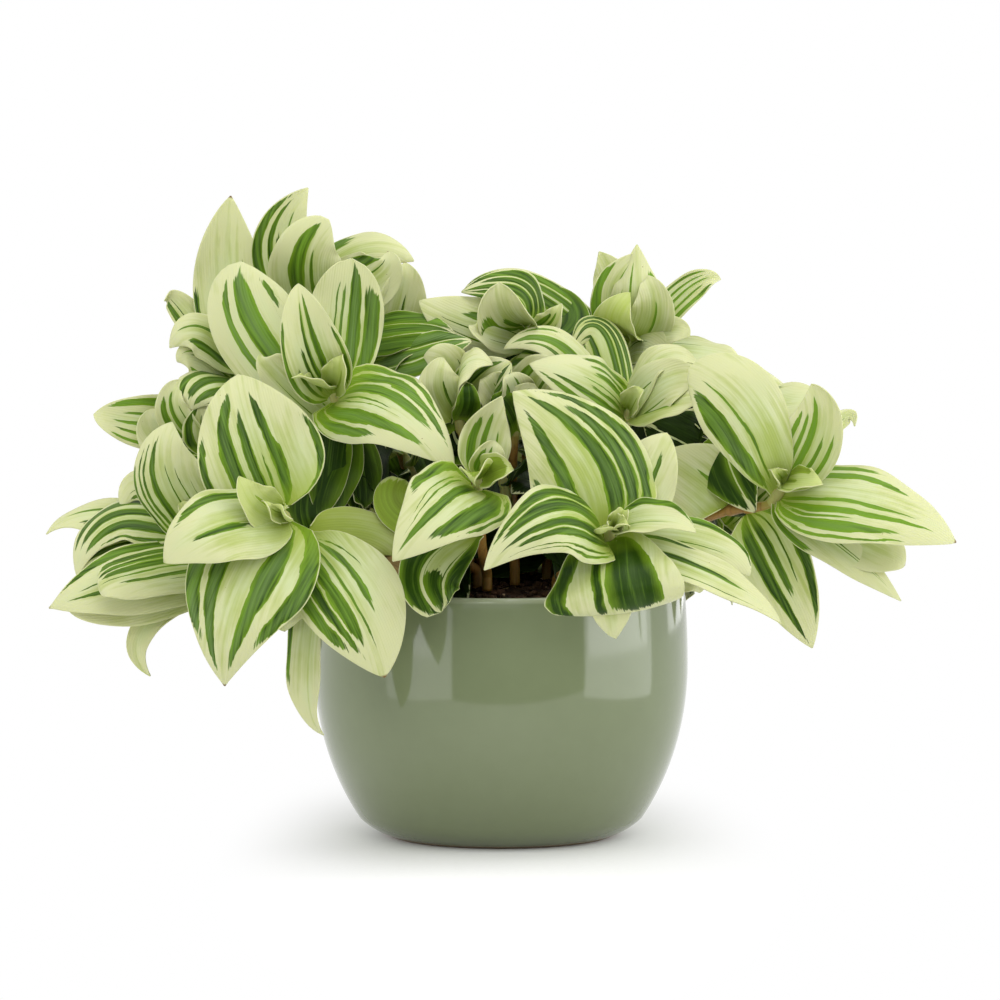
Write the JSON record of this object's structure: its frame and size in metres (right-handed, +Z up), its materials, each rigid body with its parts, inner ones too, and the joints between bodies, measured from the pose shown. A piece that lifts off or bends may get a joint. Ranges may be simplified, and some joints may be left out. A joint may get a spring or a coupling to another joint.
{
  "type": "potted tradescantia",
  "caption": "House plant with cream and green striped pointed leaves on leaning stems, rooted in soil in a round sage-green glazed ceramic pot.",
  "frame": {"origin": "centre of the pot's flat foot, on the surface it stands on", "axes": "+Z up along the pot's axis, +Y to the back, +X to the right seen from the front"},
  "size_m": [0.3942, 0.2674, 0.2827],
  "materials": {
    "glazed_ceramic": "sage-green glossy glaze on fired ceramic, unglazed at the foot",
    "potting_soil": "dark brown crumbly peat soil, damp, with pale grains",
    "stem": "fleshy yellow-green stem, golden brown at the nodes and the base",
    "leaf": "satin cream leaf with lengthwise green and silvery green stripes"
  },
  "bodies": {
    "root": {"pot": "glazed_ceramic", "soil": "potting_soil", "stem_upper_left": "stem", "leaf_upper_left_1": "leaf", "leaf_upper_left_2": "leaf", "leaf_upper_left_3": "leaf", "leaf_upper_left_4": "leaf", "stem_front_left": "stem", "leaf_front_left_1": "leaf", "leaf_front_left_2": "leaf", "leaf_front_left_3": "leaf", "leaf_front_left_4": "leaf", "leaf_front_left_5": "leaf", "stem_side_left": "stem", "leaf_side_left_1": "leaf", "leaf_side_left_2": "leaf", "leaf_side_left_3": "leaf", "leaf_side_left_4": "leaf", "stem_front_middle": "stem", "leaf_front_middle_1": "leaf", "leaf_front_middle_2": "leaf", "leaf_front_middle_3": "leaf", "stem_front_right": "stem", "leaf_front_right_1": "leaf", "leaf_front_right_2": "leaf", "leaf_front_right_3": "leaf", "leaf_front_right_4": "leaf", "stem_middle_right": "stem", "leaf_middle_right_1": "leaf", "stem_side_right": "stem", "leaf_side_right_1": "leaf", "leaf_side_right_2": "leaf", "leaf_side_right_3": "leaf", "leaf_side_right_4": "leaf", "leaf_side_right_5": "leaf", "stem_top_right": "stem", "leaf_top_right_1": "leaf", "leaf_top_right_2": "leaf", "leaf_top_right_3": "leaf", "leaf_top_right_4": "leaf", "stem_high_left": "stem", "leaf_high_left_1": "leaf", "leaf_high_left_2": "leaf", "leaf_high_left_3": "leaf", "stem_top_left": "stem", "leaf_top_left_1": "leaf", "leaf_top_left_2": "leaf", "leaf_top_left_3": "leaf", "leaf_top_left_4": "leaf", "leaf_top_left_5": "leaf", "stem_back_left": "stem", "leaf_back_left_1": "leaf", "leaf_back_left_2": "leaf", "leaf_back_left_3": "leaf", "stem_back_right": "stem", "leaf_back_right_1": "leaf", "leaf_back_right_2": "leaf", "stem_back_middle": "stem", "leaf_back_middle_1": "leaf", "leaf_back_middle_2": "leaf"}
  },
  "joints": []
}
